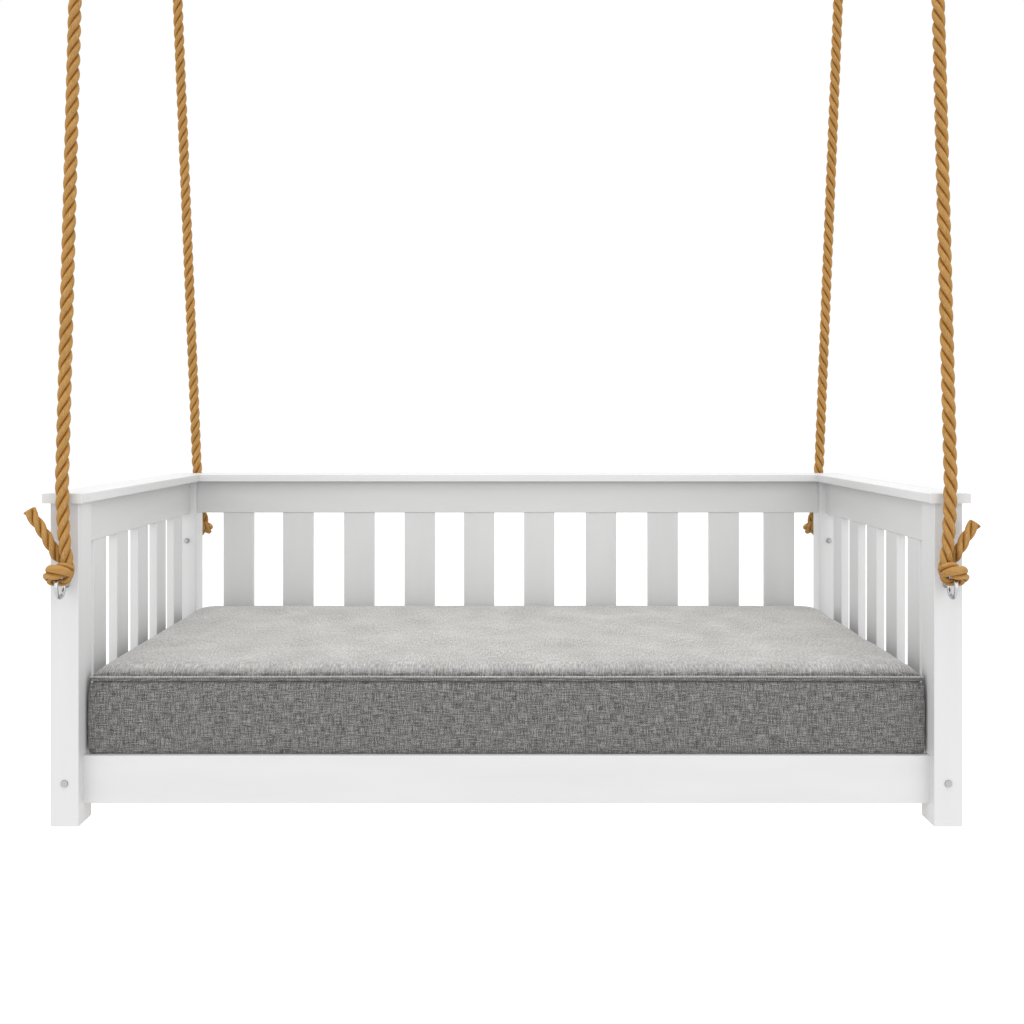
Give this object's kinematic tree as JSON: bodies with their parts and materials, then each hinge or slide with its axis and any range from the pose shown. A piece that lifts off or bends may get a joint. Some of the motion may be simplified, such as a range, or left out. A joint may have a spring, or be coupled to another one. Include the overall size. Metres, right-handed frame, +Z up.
{
  "type": "hanging swing bed",
  "caption": "Painted slatted timber daybed with back and arms and a loose mattress, hung from ceiling swivels by laid ropes knotted into eye bolts.",
  "frame": {"origin": "on the ceiling plane, in the middle of the four ceiling studs", "axes": "+X along the bed to the right arm, -Y towards the open front, +Z up"},
  "size_m": [2.119, 1.288, 2.47],
  "materials": {
    "painted_timber": "satin",
    "bare_timber": "matte",
    "zinc_steel": "satin",
    "rope": "matte",
    "ticking": "matte"
  },
  "bodies": {
    "ceiling": {"ceiling_hanger_fl": "zinc_steel", "ceiling_hanger_fr": "zinc_steel", "ceiling_hanger_bl": "zinc_steel", "ceiling_hanger_br": "zinc_steel", "clevis_bolts": "zinc_steel", "clevis_nuts": "zinc_steel"},
    "hanger_fl": {"swivel_link_fl": "zinc_steel", "link_pin_fl": "zinc_steel"},
    "hung_rope_fl": {"rope_socket_fl": "zinc_steel", "rope_fl": "rope"},
    "bend_fl": {"rope_bend_fl": "rope"},
    "hanger_fr": {"swivel_link_fr": "zinc_steel", "link_pin_fr": "zinc_steel"},
    "hung_rope_fr": {"rope_socket_fr": "zinc_steel", "rope_fr": "rope"},
    "bend_fr": {"rope_bend_fr": "rope"},
    "hanger_bl": {"swivel_link_bl": "zinc_steel", "link_pin_bl": "zinc_steel"},
    "hung_rope_bl": {"rope_socket_bl": "zinc_steel", "rope_bl": "rope"},
    "bend_bl": {"rope_bend_bl": "rope"},
    "hanger_br": {"swivel_link_br": "zinc_steel", "link_pin_br": "zinc_steel"},
    "hung_rope_br": {"rope_socket_br": "zinc_steel", "rope_br": "rope"},
    "bend_br": {"rope_bend_br": "rope"},
    "bed": {"post_fl": "painted_timber", "post_fr": "painted_timber", "post_bl": "painted_timber", "post_br": "painted_timber", "front_rail": "painted_timber", "back_bottom_rail": "painted_timber", "back_top_rail": "painted_timber", "arm_bottom_rail_l": "painted_timber", "arm_bottom_rail_r": "painted_timber", "arm_top_rail_l": "painted_timber", "arm_top_rail_r": "painted_timber", "back_cap": "painted_timber", "arm_cap_l": "painted_timber", "arm_cap_r": "painted_timber", "back_slats": "painted_timber", "arm_slats_l": "painted_timber", "arm_slats_r": "painted_timber", "ledger_front": "bare_timber", "ledger_back": "bare_timber", "bed_slats": "bare_timber", "post_bolts": "zinc_steel", "side_bolts": "zinc_steel", "barrel_nuts": "zinc_steel", "eye_bolt_nuts": "zinc_steel", "eye_bolt_fl": "zinc_steel", "eye_bolt_fr": "zinc_steel", "eye_bolt_bl": "zinc_steel", "eye_bolt_br": "zinc_steel", "knot_fl": "rope"},
    "tied_fr": {"knot_fr": "rope"},
    "tied_bl": {"knot_bl": "rope"},
    "tied_br": {"knot_br": "rope"},
    "mattress": {"mattress": "ticking"}
  },
  "joints": [
    {"name": "swing", "type": "hinge", "parent": "ceiling", "child": "hanger_fl", "pos_m": [-1.005, -0.415, -0.042], "axis": [1, 0, 0], "range_deg": [-8, 8]},
    {"name": "sway", "type": "hinge", "parent": "hanger_fl", "child": "hung_rope_fl", "pos_m": [-1.005, -0.42146, -0.1], "axis": [0, 1, 0], "range_deg": [-6, 6]},
    {"name": "rope_bend_fl", "type": "hinge", "parent": "hung_rope_fl", "child": "bend_fl", "pos_m": [-0.985, -0.59017, -1.615], "axis": [0, 1, 0], "range_deg": [-6.2, 6.2]},
    {"name": "bed_tilt", "type": "hinge", "parent": "bend_fl", "child": "bed", "pos_m": [-0.985, -0.59017, -1.615], "axis": [1, 0, 0], "range_deg": [-5.7, 5.7]},
    {"name": "swing_fr", "type": "hinge", "parent": "ceiling", "child": "hanger_fr", "pos_m": [1.005, -0.415, -0.042], "axis": [1, 0, 0], "range_deg": [-8, 8]},
    {"name": "sway_fr", "type": "hinge", "parent": "hanger_fr", "child": "hung_rope_fr", "pos_m": [1.005, -0.42146, -0.1], "axis": [0, 1, 0], "range_deg": [-6, 6]},
    {"name": "rope_bend_fr", "type": "hinge", "parent": "hung_rope_fr", "child": "bend_fr", "pos_m": [0.985, -0.59017, -1.615], "axis": [0, 1, 0], "range_deg": [-6.2, 6.2]},
    {"name": "knot_tilt_fr", "type": "hinge", "parent": "bend_fr", "child": "tied_fr", "pos_m": [0.985, -0.59017, -1.615], "axis": [1, 0, 0], "range_deg": [-5.7, 5.7]},
    {"name": "swing_bl", "type": "hinge", "parent": "ceiling", "child": "hanger_bl", "pos_m": [-1.005, 0.415, -0.042], "axis": [1, 0, 0], "range_deg": [-8, 8]},
    {"name": "sway_bl", "type": "hinge", "parent": "hanger_bl", "child": "hung_rope_bl", "pos_m": [-1.005, 0.42146, -0.1], "axis": [0, 1, 0], "range_deg": [-6, 6]},
    {"name": "rope_bend_bl", "type": "hinge", "parent": "hung_rope_bl", "child": "bend_bl", "pos_m": [-0.985, 0.59017, -1.615], "axis": [0, 1, 0], "range_deg": [-6.2, 6.2]},
    {"name": "knot_tilt_bl", "type": "hinge", "parent": "bend_bl", "child": "tied_bl", "pos_m": [-0.985, 0.59017, -1.615], "axis": [1, 0, 0], "range_deg": [-5.7, 5.7]},
    {"name": "swing_br", "type": "hinge", "parent": "ceiling", "child": "hanger_br", "pos_m": [1.005, 0.415, -0.042], "axis": [1, 0, 0], "range_deg": [-8, 8]},
    {"name": "sway_br", "type": "hinge", "parent": "hanger_br", "child": "hung_rope_br", "pos_m": [1.005, 0.42146, -0.1], "axis": [0, 1, 0], "range_deg": [-6, 6]},
    {"name": "rope_bend_br", "type": "hinge", "parent": "hung_rope_br", "child": "bend_br", "pos_m": [0.985, 0.59017, -1.615], "axis": [0, 1, 0], "range_deg": [-6.2, 6.2]},
    {"name": "knot_tilt_br", "type": "hinge", "parent": "bend_br", "child": "tied_br", "pos_m": [0.985, 0.59017, -1.615], "axis": [1, 0, 0], "range_deg": [-5.7, 5.7]},
    {"name": "mattress_lift", "type": "slide", "parent": "bed", "child": "mattress", "axis": [0, 0, 1], "range_m": [0, 0.25]}
  ],
  "couplings": [
    {"joint": "rope_bend_fl", "follows": "sway", "ratio": -1.0203},
    {"joint": "bed_tilt", "follows": "swing", "ratio": -0.70319},
    {"joint": "swing_fr", "follows": "swing", "ratio": 1},
    {"joint": "sway_fr", "follows": "sway", "ratio": 1},
    {"joint": "rope_bend_fr", "follows": "sway", "ratio": -1.0203},
    {"joint": "knot_tilt_fr", "follows": "swing", "ratio": -0.70319},
    {"joint": "swing_bl", "follows": "swing", "ratio": 1},
    {"joint": "sway_bl", "follows": "sway", "ratio": 1},
    {"joint": "rope_bend_bl", "follows": "sway", "ratio": -1.0203},
    {"joint": "knot_tilt_bl", "follows": "swing", "ratio": -0.70319},
    {"joint": "swing_br", "follows": "swing", "ratio": 1},
    {"joint": "sway_br", "follows": "sway", "ratio": 1},
    {"joint": "rope_bend_br", "follows": "sway", "ratio": -1.0203},
    {"joint": "knot_tilt_br", "follows": "swing", "ratio": -0.70319}
  ]
}
